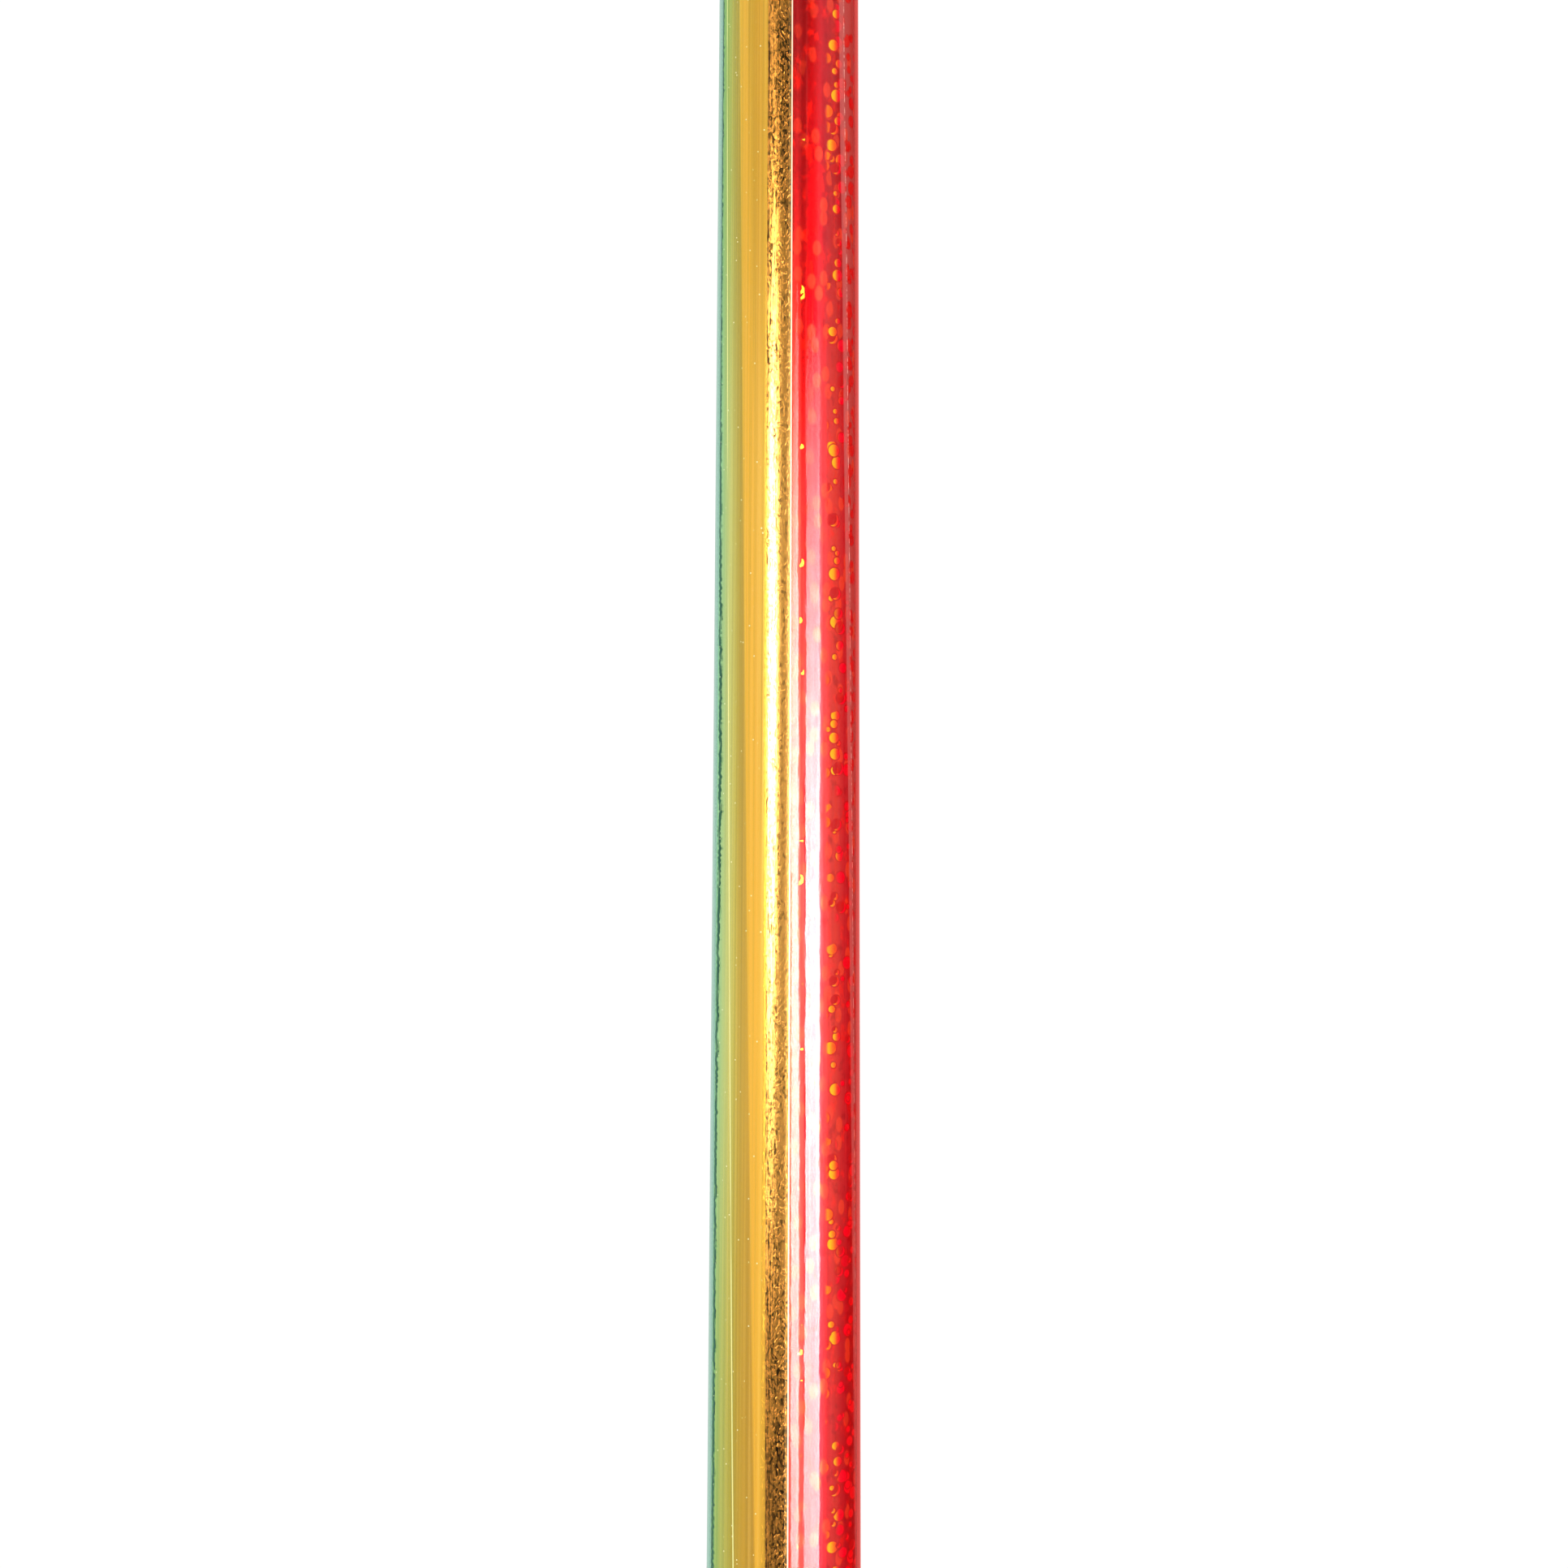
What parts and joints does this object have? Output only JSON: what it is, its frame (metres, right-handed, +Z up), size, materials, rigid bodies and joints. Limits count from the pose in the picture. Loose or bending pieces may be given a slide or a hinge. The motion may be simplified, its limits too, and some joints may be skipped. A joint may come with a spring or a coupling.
{
  "type": "rhythmic ribbon wand",
  "caption": "Slim tapered stick wrapped in iridescent films, with a rubber grip, a bearing tip, a barrel swivel and a snap hook that carries a satin ribbon wound into a roll.",
  "frame": {"origin": "on the stick's axis at the middle of the grip; the surface that it lies on is 5 mm below", "axes": "+X along the stick from the butt to the tip, +Z up from the surface that the wand lies on"},
  "size_m": [0.7585, 0.0516, 0.051],
  "materials": {
    "rod": "glass fibre, gloss",
    "green_gold": "iridescent foil",
    "red_holo": "holographic foil",
    "gold_glitter": "glitter tape",
    "clear": "clear gloss",
    "grip_rubber": "soft matt",
    "cap_plastic": "moulded",
    "collar_plastic": "shrunk sleeve",
    "chrome": "polished plate",
    "steel": "bright steel",
    "brass": "bright brass",
    "satin": "satin weave",
    "webbing": "narrow webbing",
    "elastic": "ribbed elastic"
  },
  "bodies": {
    "stick": {"shaft_core": "rod", "green_gold_film": "green_gold", "red_hologram_film": "red_holo", "front_seam_tape": "gold_glitter", "back_seam_tape": "gold_glitter", "clear_overwrap": "clear", "grip_sleeve": "grip_rubber", "grip_band": "chrome", "butt_cap": "cap_plastic", "butt_inlay": "chrome", "shrink_collar": "collar_plastic", "tip_ferrule": "chrome", "ferrule_cap": "brass", "bearing_balls": "steel"},
    "tip_pin": {"tip_eye_pin": "steel"},
    "ring": {"jump_ring": "steel"},
    "rear_eye": {"swivel_rear_eye": "steel"},
    "barrel": {"swivel_barrel": "brass"},
    "front_eye": {"swivel_front_eye": "steel"},
    "hook": {"hook_frame": "steel", "gate_pin": "steel"},
    "gate": {"hook_gate": "steel", "gate_spring": "steel"},
    "ribbon": {"ribbon_strap": "webbing", "ribbon": "satin", "ribbon_doubling": "satin", "roll_tie": "elastic"}
  },
  "joints": [
    {"name": "tip_spin", "type": "hinge", "parent": "stick", "child": "tip_pin", "pos_m": [0.5416, 0, 0], "axis": [1, 0, 0], "continuous": true},
    {"name": "ring_swing", "type": "hinge", "parent": "tip_pin", "child": "ring", "pos_m": [0.54275, 0, 0], "axis": [0, 1, 0], "range_deg": [-35, 35]},
    {"name": "swivel_swing", "type": "hinge", "parent": "ring", "child": "rear_eye", "pos_m": [0.54856, 0, -0.0015], "axis": [0, 1, 0], "range_deg": [-35, 35]},
    {"name": "barrel_spin", "type": "hinge", "parent": "rear_eye", "child": "barrel", "pos_m": [0.54856, 0, -0.0015], "axis": [0.9965, 0, -0.0833], "continuous": true},
    {"name": "eye_spin", "type": "hinge", "parent": "barrel", "child": "front_eye", "pos_m": [0.56351, 0, -0.00275], "axis": [0.9965, 0, -0.0833], "continuous": true},
    {"name": "hook_swing", "type": "hinge", "parent": "front_eye", "child": "hook", "pos_m": [0.56351, 0, -0.00275], "axis": [0, 1, 0], "range_deg": [-35, 35]},
    {"name": "gate_hinge", "type": "hinge", "parent": "hook", "child": "gate", "pos_m": [0.5685, -0.0031, -0.00304], "axis": [0.0583, 0, 0.9983], "range_deg": [0, 28], "stiffness_Nm_per_rad": 0.004, "springref_deg": -34.38},
    {"name": "strap_swing", "type": "hinge", "parent": "hook", "child": "ribbon", "pos_m": [0.58148, 0, -0.0038], "axis": [0, 1, 0], "range_deg": [-35, 35]}
  ]
}
